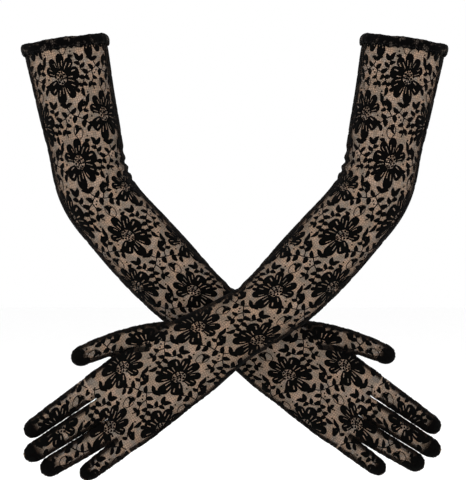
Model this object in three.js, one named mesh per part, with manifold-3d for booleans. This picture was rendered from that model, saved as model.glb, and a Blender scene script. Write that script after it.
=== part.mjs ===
// A pair of opera-length stretch-lace gloves, shaped as they are worn with the arms crossed at the wrists.
// Millimetres, +Z up, +X to the right of somebody who looks at the backs of the hands along +Y.
// The origin lies midway between the two arm openings.
//
// Each glove is drawn flat first, in its own plan: the backs of the hands face -Y, and the plane y = 0
// is the seam plane between the back panel and the palm panel. Then it is bent to its worn shape.
import * as THREE from "three";
import { mergeVertices } from "three/addons/utils/BufferGeometryUtils.js";
import Module from "manifold-3d";

const wasm = await Module();
wasm.setup();

const degrees = (angle) => (angle * Math.PI) / 180;

// ---------------------------------------------------------------- driving dimensions, mm and degrees
const CUFF_SPREAD = 158.4; // from the pair's middle plane to the centre of each arm opening
const ARM_LEAN = degrees(11.5); // upper arm, from straight down
const HEM_LEAN = degrees(8); // the arm opening is a little squarer than the arm
const HEM_RUN = 62; // the sleeve's rings turn from the hem's lean to the arm's over this length
const FOREARM_LEAN = degrees(44);
const HAND_LEAN = degrees(57.5);
const ELBOW_AT = 149; // distances along the arm from the middle of the hem
const ELBOW_SPAN = 76;
const WRIST_AT = 291;
const WRIST_SPAN = 58;
const FINGERS_AT = 468; // the line where the fingers part
const PALM_END = FINGERS_AT - 1;

const WALL = 1; // thickness of each lace panel
const CLEARANCE = 0.3; // between pieces that are sewn together
const SEAM_GAP = 0.4; // between the cut edges of the two panels
const SEAM_ALLOWANCE = 3.2; // how far an overlocked edge reaches into the glove
const SEAM_THICKNESS = 0.9;
const TIP_SLIT = 0.6; // between the ends of two runs of seam at a fingertip

const HEM_HEIGHT = 10.5;
const HEM_PROUD = 2; // how far the hem stands out from the sleeve
const HEM_FOLD = 1.1; // thickness of the fold over the top
const ELASTIC_WIDTH = 5;
const THREAD = 0.7;
const THREAD_INSET = 2; // hem's lower edge to its row of stitches

const PAIR_SLOPE = 0.081; // forward lean of the front glove, and backward lean of the rear one
const CURL = 26; // how far the middle fingertip is bent towards the palm
const CUPPING = 4; // how far the hand's edges are bent towards the palm, at 40 mm from its middle
const CUPPING_HALF_WIDTH = 40;
const CUPPING_RUN = 90; // the hand flattens out over this length above the wrist bend

// Arm and palm: distance along, half width on the little-finger side, on the thumb side, half depth.
const SLEEVE = [
  [14, 38.9, 38, 35.5],
  [62, 37, 35.4, 34],
  [105, 35.6, 33.4, 33],
  [134, 36.8, 33.8, 33.5],
  [152, 36.6, 33, 33.5],
  [170, 35.8, 33.2, 33],
  [202, 37.6, 33.6, 33],
  [234, 38.4, 32.6, 31.5],
  [262, 37.4, 31.4, 28.5],
  [284, 34.6, 30, 24.6],
  [305, 31.6, 29, 22.3],
  [333, 31.8, 31, 21],
  [354, 34.8, 33.8, 20],
  [376, 38.4, 36.8, 18.8],
  [400, 40.4, 38.6, 17.2],
  [424, 43.2, 38.2, 15.6],
  [446, 45.4, 37.2, 13.6],
  [460, 45.6, 36, 11.4],
  [PALM_END, 44.2, 34.4, 9.4],
];

// Fingers, in the hand's own frame: distance along and to the thumb side, from the middle of the line
// where the fingers part, and half widths at the root, the middle and just before the rounded tip.
// A finger's middle line runs from its root to its tip, and bends towards the point between them.
const FINGERS = {
  index: { root: [-26, 26], bend: [22, 23.7], tip: [73.4, 20.8], halves: [10.4, 9.7, 8.2] },
  middle: { root: [-26, 2.6], bend: [28, 2.6], tip: [85.4, 2.2], halves: [10.2, 9.8, 8.6] },
  ring: { root: [-26, -18.4], bend: [26, -18.4], tip: [79.6, -18.4], halves: [10, 9.9, 8.6] },
  little: { root: [-32, -32.6], bend: [8, -37.8], tip: [50.8, -40.4], halves: [9.6, 9.1, 7.8] },
  thumb: { root: [-100, 16], bend: [-68, 47.2], tip: [1.4, 55.4], halves: [14, 10.9, 9] },
};
const FINGER_FLATNESS = 0.92; // depth of a finger over its width
const TIP_LENGTH = 1.15; // length of a finger's round end over its half width there

const SLEEVE_SIDES = 18;
const FINGER_SIDES = 10;
const FINGER_STEPS = 3;
const ROUND_TIP_STEPS = 3;
const TIP_CAP = 0.35; // the last ring of a tip stops this share of a step short of its end
const LEAST_RING_STEP = 1; // rings of the sleeve lie at least this far apart
const HAND_EDGE = 34; // longest edge where the glove is bent out of its plan

// ---------------------------------------------------------------- solids
// A closed mesh, its shared vertices merged, as a solid that can be joined and cut.
function solidOf(geometry) {
  const bare = geometry.clone();
  bare.deleteAttribute("normal");
  bare.deleteAttribute("uv");
  const merged = mergeVertices(bare, 1e-4);
  return new wasm.Manifold(
    new wasm.Mesh({
      numProp: 3,
      vertProperties: new Float32Array(merged.attributes.position.array),
      triVerts: new Uint32Array(merged.index.array),
    }),
  );
}

// A box given by its middle, its size and its turn in the plan.
function block(middle, size, turn = 0) {
  const box = new THREE.BoxGeometry(...size).rotateY(turn);
  return solidOf(box.translate(...middle));
}

// A skin through rings of points, each an array of [x, y, z], closed by a fan at each end.
function loft(rings) {
  const sides = rings[0].length;
  const points = rings.flat();
  const faces = [];
  for (let ring = 0; ring + 1 < rings.length; ring += 1) {
    for (let side = 0; side < sides; side += 1) {
      const a = ring * sides + side;
      const b = ring * sides + ((side + 1) % sides);
      faces.push(a, a + sides, b, b, a + sides, b + sides);
    }
  }
  for (const [ring, flip] of [[0, false], [rings.length - 1, true]]) {
    const middle = new THREE.Vector3();
    rings[ring].forEach((point) => middle.add(new THREE.Vector3(...point)));
    points.push(middle.divideScalar(sides).toArray());
    for (let side = 0; side < sides; side += 1) {
      const a = ring * sides + side;
      const b = ring * sides + ((side + 1) % sides);
      faces.push(...(flip ? [b, a, points.length - 1] : [a, b, points.length - 1]));
    }
  }
  const geometry = new THREE.BufferGeometry();
  geometry.setAttribute("position", new THREE.Float32BufferAttribute(points.flat(), 3));
  geometry.setIndex(faces);
  return solidOf(geometry);
}

// ---------------------------------------------------------------- the arm's middle line
const easeBetween = (start, span, at) => THREE.MathUtils.smoothstep(at, start - span / 2, start + span / 2);

const leanAt = (along) =>
  ARM_LEAN +
  (FOREARM_LEAN - ARM_LEAN) * easeBetween(ELBOW_AT, ELBOW_SPAN, along) +
  (HAND_LEAN - FOREARM_LEAN) * easeBetween(WRIST_AT, WRIST_SPAN, along);

const ringLeanAt = (along) =>
  THREE.MathUtils.lerp(HEM_LEAN, leanAt(along), easeBetween(HEM_RUN / 2, HEM_RUN, along));

// The rear glove's arm opening is on the -X side, so its arm runs down and to +X.
const direction = (lean) => new THREE.Vector2(Math.sin(lean), -Math.cos(lean));
const thumbwards = (lean) => new THREE.Vector2(Math.cos(lean), Math.sin(lean));

// The plan point at a distance along the middle line, found by walking there in short steps.
function pointAt(along) {
  const point = new THREE.Vector2(-CUFF_SPREAD, 0);
  if (along < 0) return point.addScaledVector(direction(ARM_LEAN), along);
  const steps = Math.max(1, Math.ceil(along));
  for (let step = 0; step < steps; step += 1) {
    const middle = ((step + 0.5) * along) / steps;
    point.addScaledVector(direction(leanAt(middle)), along / steps);
  }
  return point;
}

const handOrigin = pointAt(FINGERS_AT);
const handAlong = direction(HAND_LEAN);
const handAcross = thumbwards(HAND_LEAN);
const handPoint = ([along, across]) =>
  handOrigin.clone().addScaledVector(handAlong, along).addScaledVector(handAcross, across);

// One ring of the skin: an ellipse whose two halves may differ in width. No corner lies on y = 0.
function ring(middle, across, halfThumb, halfLittle, halfDepth, sides) {
  return Array.from({ length: sides }, (_, side) => {
    const angle = ((side + 0.5) * 2 * Math.PI) / sides;
    const half = Math.cos(angle) > 0 ? halfThumb : halfLittle;
    const reach = (half * Math.cos(angle)) / Math.cos(Math.PI / sides); // flats, not corners, at full width
    const point = middle.clone().addScaledVector(across, reach);
    return [point.x, halfDepth * Math.sin(angle), point.y];
  });
}

// The sleeve's ring at any distance along, straight between the two stations beside it.
function sleeveRing(along, inset) {
  const last = SLEEVE.length - 2;
  const next = SLEEVE.findIndex((station) => station[0] > along);
  const lower = next === 0 ? 0 : Math.min(next < 0 ? last : next - 1, last);
  const [start, end] = [SLEEVE[lower], SLEEVE[lower + 1]];
  const share = along < start[0] ? 0 : (along - start[0]) / (end[0] - start[0]);
  const [little, thumb, depth] = [1, 2, 3].map(
    (column) => THREE.MathUtils.lerp(start[column], end[column], share) - inset,
  );
  return ring(pointAt(along), thumbwards(ringLeanAt(along)), thumb, little, depth, SLEEVE_SIDES);
}

// The arm between two distances along it, with its surface moved inwards by an inset.
function armSolid(from, to, inset) {
  const between = (along) => along > from + LEAST_RING_STEP && along < to - LEAST_RING_STEP;
  const inside = SLEEVE.map(([along]) => along).filter(between);
  return loft([from, ...inside, to].map((along) => sleeveRing(along, inset)));
}

// A finger: widths ease from root to middle to tip, and the tip is a quarter round.
function fingerSolid({ root, bend, tip, halves }, inset) {
  const spine = new THREE.QuadraticBezierCurve(...[root, bend, tip].map(handPoint));
  const whole = spine.getLength();
  const length = whole - inset;
  const [rootHalf, middleHalf, tipHalf] = halves.map((half) => half - inset);
  const straight = length - tipHalf * TIP_LENGTH;
  const rings = [];
  const addRing = (distance, half) => {
    const along = spine.getTangentAt(distance / whole);
    const across = new THREE.Vector2(-along.y, along.x);
    const depth = half * FINGER_FLATNESS;
    rings.push(ring(spine.getPointAt(distance / whole), across, half, half, depth, FINGER_SIDES));
  };
  for (let step = 0; step <= FINGER_STEPS; step += 1) {
    const share = step / FINGER_STEPS;
    const half = share < 0.5
      ? THREE.MathUtils.lerp(rootHalf, middleHalf, share * 2)
      : THREE.MathUtils.lerp(middleHalf, tipHalf, share * 2 - 1);
    addRing(straight * share, half);
  }
  for (let step = 1; step <= ROUND_TIP_STEPS; step += 1) {
    const angle = (step / (ROUND_TIP_STEPS + TIP_CAP)) * (Math.PI / 2);
    addRing(straight + (length - straight) * Math.sin(angle), tipHalf * Math.cos(angle));
  }
  return loft(rings);
}

// The whole glove from a distance along the arm to the fingertips, as one full solid.
function gloveSolid(from, inset) {
  let whole = armSolid(from, PALM_END - inset, inset);
  for (const finger of Object.values(FINGERS)) whole = whole.add(fingerSolid(finger, inset));
  return whole;
}

// ---------------------------------------------------------------- the pieces, flat in the plan
const HEM_TOP = -HEM_HEIGHT / 2;
const HEM_BOTTOM = HEM_HEIGHT / 2;
const PANEL_TOP = HEM_TOP + HEM_FOLD + ELASTIC_WIDTH + 2 * CLEARANCE;
const PAST = 40; // a solid that cuts runs this far past what it cuts
const OPEN_END = -PAST; // well past the arm opening
const REACH = 1200; // larger than a glove

const halfSpace = (side) => block([0, side * (REACH / 2 + SEAM_GAP / 2), 0], [REACH, REACH, REACH]);
const tube = (from, to, outer, inner) =>
  armSolid(from, to, outer).subtract(armSolid(OPEN_END, to + PAST, inner));

function panels() {
  const shell = gloveSolid(PANEL_TOP, 0).subtract(gloveSolid(OPEN_END, WALL));
  return { back_panel: shell.intersect(halfSpace(-1)), palm_panel: shell.intersect(halfSpace(1)) };
}

// A band of doubled lace, folded over the elastic and over the top edges of the panels.
function cuff() {
  const fold = tube(HEM_TOP, HEM_BOTTOM, -HEM_PROUD, WALL + CLEARANCE + HEM_FOLD);
  const channel = tube(HEM_TOP + HEM_FOLD, HEM_BOTTOM + PAST, -CLEARANCE, WALL + CLEARANCE);
  const elasticTop = HEM_TOP + HEM_FOLD + CLEARANCE;
  const threadTop = HEM_BOTTOM - THREAD_INSET - THREAD;
  const threadSeat = -HEM_PROUD - CLEARANCE;
  return {
    cuff_hem: fold.subtract(channel),
    cuff_elastic: tube(elasticTop, elasticTop + ELASTIC_WIDTH, 0, WALL),
    hem_stitching: tube(threadTop, threadTop + THREAD, threadSeat - THREAD, threadSeat),
  };
}

const SLIT_LENGTH = 20; // along the finger, longer than its seam allowance
const SLIT_DEPTH = 10; // across the seam plane, deeper than the seam

// The overlocked edges, one strip in the seam plane that is slit at each fingertip into six runs.
function seams() {
  const outer = WALL + CLEARANCE;
  const slab = block([0, 0, 0], [REACH, SEAM_THICKNESS, REACH]);
  let strip = gloveSolid(HEM_BOTTOM + CLEARANCE, outer)
    .intersect(slab)
    .subtract(gloveSolid(OPEN_END, outer + SEAM_ALLOWANCE));
  for (const { bend, tip } of Object.values(FINGERS)) {
    const end = handPoint(tip);
    const along = end.clone().sub(handPoint(bend));
    const turn = -Math.atan2(along.y, along.x);
    strip = strip.subtract(block([end.x, 0, end.y], [SLIT_LENGTH, SLIT_DEPTH, TIP_SLIT], turn));
  }
  // From the little finger's side to the thumb's side, by the place of each run's middle across the hand.
  const names = [
    "seam_outer_arm_to_little",
    "seam_little_to_ring",
    "seam_ring_to_middle",
    "seam_middle_to_index",
    "seam_index_to_thumb",
    "seam_thumb_to_inner_arm",
  ];
  const thumbOrder = (run) => {
    const { min, max } = run.boundingBox();
    const middle = new THREE.Vector2((min[0] + max[0]) / 2, (min[2] + max[2]) / 2);
    const longRun = max[2] - min[2] > FINGERS_AT / 2;
    const across = middle.sub(handOrigin).dot(handAcross);
    return longRun ? Math.sign(farthestAcross(run)) * REACH : across;
  };
  const runs = strip.decompose().sort((a, b) => thumbOrder(a) - thumbOrder(b));
  return Object.fromEntries(runs.map((run, index) => [names[index], run]));
}

// On which side of the hand a long run of seam ends: the point lowest down the arm, across the hand.
function farthestAcross(run) {
  const { vertProperties, numProp } = run.getMesh();
  let best = -Infinity;
  let across = 0;
  for (let i = 0; i < vertProperties.length; i += numProp) {
    const offset = new THREE.Vector2(vertProperties[i], vertProperties[i + 2]).sub(handOrigin);
    if (offset.dot(handAlong) > best) {
      best = offset.dot(handAlong);
      across = offset.dot(handAcross);
    }
  }
  return across;
}

// ---------------------------------------------------------------- from the plan to the worn shape
const wristPoint = pointAt(WRIST_AT + WRIST_SPAN / 2);
const handLength = handPoint(FINGERS.middle.tip).sub(wristPoint).dot(handAlong);

// How far a plan point lies towards the palm once the hand is relaxed.
function relaxed(x, z) {
  const offset = new THREE.Vector2(x, z).sub(wristPoint);
  const down = Math.max(0, offset.dot(handAlong));
  const across = offset.dot(handAcross);
  return (
    CURL * (down / handLength) ** 2 +
    CUPPING * (across / CUPPING_HALF_WIDTH) ** 2 * THREE.MathUtils.smoothstep(down, 0, CUPPING_RUN)
  );
}

// Splits each edge of the hand that is longer than a limit, so that bending leaves no gaps or overlaps.
function splitLongEdges(points, faces) {
  const bends = (a) => new THREE.Vector2(points[a][0], points[a][2]).sub(wristPoint).dot(handAlong) > 0;
  const length = (a, b) => Math.hypot(...points[a].map((value, axis) => value - points[b][axis]));
  for (;;) {
    const middles = new Map();
    const middleOf = (a, b) => {
      if (length(a, b) <= HAND_EDGE || !(bends(a) || bends(b))) return null;
      const key = a < b ? a + "_" + b : b + "_" + a;
      if (!middles.has(key)) {
        points.push(points[a].map((value, axis) => (value + points[b][axis]) / 2));
        middles.set(key, points.length - 1);
      }
      return middles.get(key);
    };
    const next = [];
    for (const face of faces) {
      const marks = [0, 1, 2].map((corner) => middleOf(face[corner], face[(corner + 1) % 3]));
      const cut = marks.filter((mark) => mark !== null).length;
      if (cut === 0) next.push(face);
      else if (cut === 3) {
        const [ab, bc, ca] = marks;
        next.push([face[0], ab, ca], [ab, face[1], bc], [ca, bc, face[2]], [ab, bc, ca]);
      } else if (cut === 1) {
        const turn = marks.findIndex((mark) => mark !== null);
        const [a, b, c] = [0, 1, 2].map((corner) => face[(corner + turn) % 3]);
        next.push([a, marks[turn], c], [marks[turn], b, c]);
      } else {
        const turn = (marks.findIndex((mark) => mark === null) + 1) % 3;
        const [a, b, c] = [0, 1, 2].map((corner) => face[(corner + turn) % 3]);
        const [ab, bc] = [marks[turn], marks[(turn + 1) % 3]];
        next.push([a, ab, c], [ab, bc, c], [ab, b, bc]);
      }
    }
    faces = next;
    if (middles.size === 0) return { points, faces };
  }
}

// The rear glove keeps its plan's hand; the front glove is its mirror image and leans the other way.
function wornGeometry(solid, side) {
  const mesh = solid.getMesh();
  const planPoints = [];
  for (let i = 0; i < mesh.vertProperties.length; i += mesh.numProp) {
    planPoints.push(Array.from(mesh.vertProperties.slice(i, i + 3)));
  }
  const planFaces = [];
  for (let i = 0; i < mesh.triVerts.length; i += 3) planFaces.push(Array.from(mesh.triVerts.slice(i, i + 3)));
  const { points, faces } = splitLongEdges(planPoints, planFaces);
  const worn = points.map(([x, y, z]) => [side * x, y + relaxed(x, z) - side * PAIR_SLOPE * z, z]);
  const outward = side > 0 ? faces : faces.map(([a, b, c]) => [a, c, b]);
  const geometry = new THREE.BufferGeometry();
  geometry.setAttribute("position", new THREE.Float32BufferAttribute(worn.flat(), 3));
  geometry.setIndex(outward.flat());
  geometry.computeVertexNormals();
  return geometry;
}

// ---------------------------------------------------------------- materials
const FINISHES = {
  back_panel: { color: 0x14110f, roughness: 0.8 }, // raised black lace on a fine net
  palm_panel: { color: 0x171412, roughness: 0.82 },
  cuff_hem: { color: 0x0e0d0c, roughness: 0.85 }, // the same lace, doubled
  cuff_elastic: { color: 0x1a1a1b, roughness: 0.7 },
  hem_stitching: { color: 0x0a0a0b, roughness: 0.55 },
  seam: { color: 0x0b0a0a, roughness: 0.75 }, // overlock thread over two raw edges
};

function finish(piece) {
  const { color, roughness } = FINISHES[piece.startsWith("seam") ? "seam" : piece];
  return new THREE.MeshStandardMaterial({ color, roughness, metalness: 0 });
}

// ---------------------------------------------------------------- the pair
const PIECES = { ...panels(), ...cuff(), ...seams() };
const GLOVES = { right_glove: 1, left_glove: -1 }; // the right glove lies behind, the left one in front

const pair = new THREE.Group();
for (const [glove, side] of Object.entries(GLOVES)) {
  const group = new THREE.Group();
  for (const [piece, solid] of Object.entries(PIECES)) {
    const mesh = new THREE.Mesh(wornGeometry(solid, side), finish(piece));
    mesh.name = glove + "_" + piece;
    group.add(mesh);
  }
  pair.add(group);
}

export default pair;
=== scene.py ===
"""A pair of opera gloves in black floral stretch lace, shaped as worn with the arms crossed at the wrists."""
import math

import bpy
import numpy as np
from mathutils.bvhtree import BVHTree
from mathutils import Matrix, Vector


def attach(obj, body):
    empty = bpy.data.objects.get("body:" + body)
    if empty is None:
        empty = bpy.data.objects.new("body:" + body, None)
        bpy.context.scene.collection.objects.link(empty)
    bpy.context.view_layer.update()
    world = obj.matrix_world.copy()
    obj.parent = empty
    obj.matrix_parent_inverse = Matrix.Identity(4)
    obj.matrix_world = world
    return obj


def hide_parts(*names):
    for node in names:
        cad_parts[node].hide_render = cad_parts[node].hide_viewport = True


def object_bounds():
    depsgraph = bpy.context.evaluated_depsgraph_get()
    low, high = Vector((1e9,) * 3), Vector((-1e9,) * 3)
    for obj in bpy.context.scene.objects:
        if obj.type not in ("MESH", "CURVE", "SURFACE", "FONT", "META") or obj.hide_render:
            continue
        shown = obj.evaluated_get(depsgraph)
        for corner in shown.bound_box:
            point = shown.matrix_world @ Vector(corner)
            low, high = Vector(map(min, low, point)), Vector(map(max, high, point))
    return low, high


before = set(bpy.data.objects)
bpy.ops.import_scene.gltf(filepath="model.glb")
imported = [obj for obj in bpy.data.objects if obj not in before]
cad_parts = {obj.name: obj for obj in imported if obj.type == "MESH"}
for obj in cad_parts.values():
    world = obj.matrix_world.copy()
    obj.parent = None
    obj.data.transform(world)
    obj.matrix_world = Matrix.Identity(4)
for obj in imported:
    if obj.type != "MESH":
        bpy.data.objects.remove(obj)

CAD_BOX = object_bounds()
MM = 0.001

# ------------------------------------------------------------------ driving dimensions, mm and degrees
# A glove is drawn flat in its plan: x and z lie in the seam plane, the back of the hand faces -y.
CUFF_SPREAD = 158.4  # from the pair's middle to the middle of each arm opening
ARM_LEAN, HEM_LEAN, FOREARM_LEAN, HAND_LEAN = (math.radians(a) for a in (11.5, 8, 44, 57.5))
HEM_RUN = 62
ELBOW_AT, ELBOW_SPAN = 149, 76
WRIST_AT, WRIST_SPAN = 291, 58
FINGERS_AT = 468
PALM_END = FINGERS_AT - 1

# Arm and palm: distance along, half width on the little-finger side, on the thumb side, half depth.
SLEEVE = (
    (14, 38.9, 38, 35.5), (62, 37, 35.4, 34), (105, 35.6, 33.4, 33), (134, 36.8, 33.8, 33.5),
    (152, 36.6, 33, 33.5), (170, 35.8, 33.2, 33), (202, 37.6, 33.6, 33), (234, 38.4, 32.6, 31.5),
    (262, 37.4, 31.4, 28.5), (284, 34.6, 30, 24.6), (305, 31.6, 29, 22.3), (333, 31.8, 31, 21),
    (354, 34.8, 33.8, 20), (376, 38.4, 36.8, 18.8), (400, 40.4, 38.6, 17.2), (424, 43.2, 38.2, 15.6),
    (446, 45.4, 37.2, 13.6), (460, 45.6, 36, 11.4), (PALM_END, 44.2, 34.4, 9.4),
)
# Root, bend and tip of each finger in the hand's frame, which is along the hand and to the thumb side from the
# line where the fingers part, and half widths at the root, at half its length and where its round end starts.
FINGERS = {
    "index": ((-26, 26), (22, 23.7), (73.4, 20.8), (10.4, 9.7, 8.2)),
    "middle": ((-26, 2.6), (28, 2.6), (85.4, 2.2), (10.2, 9.8, 8.6)),
    "ring": ((-26, -18.4), (26, -18.6), (79.6, -16.8), (10, 9.8, 8.6)),
    "little": ((-32, -32.6), (8, -37.8), (50.8, -40.4), (9.6, 9.1, 7.8)),
    "thumb": ((-100, 16), (-68, 47.2), (1.4, 55.4), (14, 10.9, 9)),
}
FINGER_FLATNESS = 0.92
TIP_LENGTH = 1.15  # length of a finger's round end over its half width there
SLEEVE_SOFTENING = 12  # the sleeve's sizes change over this far along the arm

HEM_HEIGHT = 10.5
HEM_PROUD = 2  # how far the rolled hem stands off the sleeve
HEM_FOLD = 1.1  # from the top of the hem to the elastic inside it
ELASTIC_WIDTH = 5
THREAD_INSET = 2  # from the hem's lower edge to its stitches
PANEL_TOP = HEM_FOLD + ELASTIC_WIDTH + 0.9  # the hem starts at 0, the panels inside its fold
SEAM_ALLOWANCE = 3.4
STITCH_PITCH = 2.25

PAIR_SLOPE = 0.081  # each glove leans away from the other towards its hand, so that they can cross
CURL = 26  # how far the middle fingertip bends to the palm side
CUPPING, CUPPING_HALF_WIDTH, CUPPING_RUN = 4, 40, 90  # of the hand across its width, from the wrist on

VOXEL = 1.0  # of the remesh that joins arm, palm and fingers to one skin
SOFTENING_ROUNDS = 9  # of the smoothing after it, which rounds the crotches
ARM_SIDES, FINGER_SIDES = 72, 40
GLOVES = {"right_glove": 1, "left_glove": -1}  # the right glove lies behind, the left one in front


# ------------------------------------------------------------------ the arm's middle line
def smoothstep(value, low, high):
    share = np.clip((value - low) / (high - low), 0, 1)
    return share * share * (3 - 2 * share)


def lean_at(along):
    elbow = smoothstep(along, ELBOW_AT - ELBOW_SPAN / 2, ELBOW_AT + ELBOW_SPAN / 2)
    wrist = smoothstep(along, WRIST_AT - WRIST_SPAN / 2, WRIST_AT + WRIST_SPAN / 2)
    return ARM_LEAN + (FOREARM_LEAN - ARM_LEAN) * elbow + (HAND_LEAN - FOREARM_LEAN) * wrist


def ring_lean_at(along):
    turned = smoothstep(along, 0, HEM_RUN)
    return HEM_LEAN + (lean_at(along) - HEM_LEAN) * turned


def direction(lean):
    return np.stack([np.sin(lean), -np.cos(lean)], axis=-1)


def thumbwards(lean):
    return np.stack([np.cos(lean), np.sin(lean)], axis=-1)


ALONG = np.arange(-60.0, 601.0)
_steps = direction(lean_at((ALONG[1:] + ALONG[:-1]) / 2))
LINE = np.concatenate([[(0, 0)], np.cumsum(_steps, axis=0)])
LINE += (-CUFF_SPREAD, 0) - LINE[ALONG == 0]


def point_at(along):
    return np.stack([np.interp(along, ALONG, LINE[:, axis]) for axis in (0, 1)], axis=-1)


def softened(values, reach):
    """A table of values a millimetre apart, with its corners rounded over a reach."""
    kernel = np.hanning(2 * reach + 1)
    padded = np.concatenate([np.full(reach, values[0]), values, np.full(reach, values[-1])])
    return np.convolve(padded, kernel / kernel.sum(), mode="valid")


_stations, *_sizes = zip(*SLEEVE)
SLEEVE_TABLE = [softened(np.interp(ALONG, _stations, sizes), SLEEVE_SOFTENING) for sizes in _sizes]


def sleeve_at(along):
    """Half width on the little-finger side, on the thumb side, and half depth."""
    return [np.interp(along, ALONG, table) for table in SLEEVE_TABLE]


HAND_ORIGIN = point_at(np.array(float(FINGERS_AT)))
HAND_ALONG, HAND_ACROSS = direction(np.array(HAND_LEAN)), thumbwards(np.array(HAND_LEAN))


BATCH = 4000  # points that are measured against the middle line at once


def locate(points):
    """Distance along the middle line and offset to the thumb side of each plan point."""
    along, across = np.empty(len(points)), np.empty(len(points))
    flat = points[:, [0, 2]]
    for start in range(0, len(points), BATCH):
        part = flat[start:start + BATCH]
        nearest = ((part[:, None] - LINE[None, ::2]) ** 2).sum(2).argmin(1) * 2
        offset = part - LINE[nearest]
        lean = lean_at(ALONG[nearest])
        along[start:start + BATCH] = ALONG[nearest] + (offset * direction(lean)).sum(1)
        across[start:start + BATCH] = (offset * thumbwards(lean)).sum(1)
    return along, across


# ------------------------------------------------------------------ fingers
class Finger:
    """A finger's middle line in the hand's frame, two millimetres a step, and its half widths along it."""

    def __init__(self, root, bend, tip, halves):
        share = np.linspace(0, 1, 400)[:, None]
        path = (1 - share) ** 2 * root + 2 * share * (1 - share) * bend + share ** 2 * tip
        gone = np.concatenate([[0], np.cumsum(np.linalg.norm(np.diff(path, axis=0), axis=1))])
        self.length = gone[-1]
        self.straight = self.length - TIP_LENGTH * halves[2]
        turns = np.arange(1, 11) / 10.6 * math.pi / 2  # stops just short of the tip, which is closed flat
        rounded = self.straight + (self.length - self.straight) * np.sin(turns)
        self.distance = np.concatenate([np.arange(0, self.straight, 2.0), [self.straight], rounded])
        self.path = np.stack([np.interp(self.distance, gone, path[:, a]) for a in (0, 1)], axis=1)
        self.ahead = np.gradient(self.path, self.distance, axis=0)
        self.ahead /= np.linalg.norm(self.ahead, axis=1)[:, None]
        self.halves = halves

    def half_at(self, distance):
        knots = (0, self.straight / 2, self.straight)
        half = np.interp(distance, knots, self.halves)
        past = np.clip((distance - self.straight) / (self.length - self.straight), 0, 1)
        return half * np.sqrt(1 - past ** 2)

    def at(self, distance):
        """Middle point and direction across, both in the hand's frame."""
        middle = np.stack([np.interp(distance, self.distance, self.path[:, a]) for a in (0, 1)], axis=-1)
        ahead = np.stack([np.interp(distance, self.distance, self.ahead[:, a]) for a in (0, 1)], axis=-1)
        return middle, np.stack([-ahead[..., 1], ahead[..., 0]], axis=-1)


HAND = {name: Finger(*(np.array(part, float) for part in parts)) for name, parts in FINGERS.items()}


def hand_to_plan(points):
    return HAND_ORIGIN + points[..., :1] * HAND_ALONG + points[..., 1:] * HAND_ACROSS


def turn_to_plan(vectors):
    return vectors[..., :1] * HAND_ALONG + vectors[..., 1:] * HAND_ACROSS


# ------------------------------------------------------------------ mesh helpers
def deselect_all():
    if bpy.context.object and bpy.context.object.mode != "OBJECT":
        bpy.ops.object.mode_set(mode="OBJECT")
    bpy.ops.object.select_all(action="DESELECT")


def only(piece):
    deselect_all()
    piece.select_set(True)
    bpy.context.view_layer.objects.active = piece


def new_object(name, points, faces):
    mesh = bpy.data.meshes.new(name)
    mesh.from_pydata([tuple(p) for p in points], [], faces)
    mesh.validate()
    made = bpy.data.objects.new(name, mesh)
    bpy.context.collection.objects.link(made)
    return made


def read_mesh(piece):
    mesh = piece.data
    points = np.empty(len(mesh.vertices) * 3)
    mesh.vertices.foreach_get("co", points)
    return points.reshape(-1, 3), [tuple(face.vertices) for face in mesh.polygons]


def tube_faces(rings, sides):
    """Quads through rings of points, each ring closed on itself, facing outwards, and a cap at each end."""
    faces = []
    for ring in range(rings - 1):
        for side in range(sides):
            a = ring * sides + side
            b = ring * sides + (side + 1) % sides
            faces.append((a, a + sides, b + sides, b))
    last = (rings - 1) * sides
    return faces + [tuple(range(sides)), tuple(reversed(range(last, last + sides)))]


def tube(middles, acrosses, half_thumb, half_little, half_depth, sides):
    """A closed tube through elliptical rings whose two halves may differ in width."""
    angle = (np.arange(sides) + 0.5) * 2 * math.pi / sides
    half = np.where(np.cos(angle) > 0, half_thumb[:, None], half_little[:, None])
    flat = middles[:, None] + acrosses[:, None] * (half * np.cos(angle))[..., None]
    depth = half_depth[:, None] * np.sin(angle)
    points = np.stack([flat[..., 0], depth, flat[..., 1]], axis=-1).reshape(-1, 3)
    return points, tube_faces(len(middles), sides)


# ------------------------------------------------------------------ the glove's skin, whole, in its plan
def sleeve_tube():
    along = np.concatenate([np.arange(-24, PALM_END, 4.0), [PALM_END]])
    little, thumb, depth = sleeve_at(along)
    return tube(point_at(along), thumbwards(ring_lean_at(along)), thumb, little, depth, ARM_SIDES)


def finger_tube(finger, slimmed):
    half = slimmed * finger.half_at(finger.distance)
    middle, across = finger.at(finger.distance)
    return tube(hand_to_plan(middle), turn_to_plan(across), half, half, half * FINGER_FLATNESS, FINGER_SIDES)


# The fingers go into the remesh slim, so that it leaves the gaps between them open, and are filled out again:
# the share of their width that they start with, and how far their skin is then pushed out.
SLIMMED, FILLED_OUT = 0.9, 1.45
FILLED_ALONG, FILLED_ACROSS = (-20, 8), (38, 44)  # fades in at the knuckles, and out towards the thumb


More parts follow.
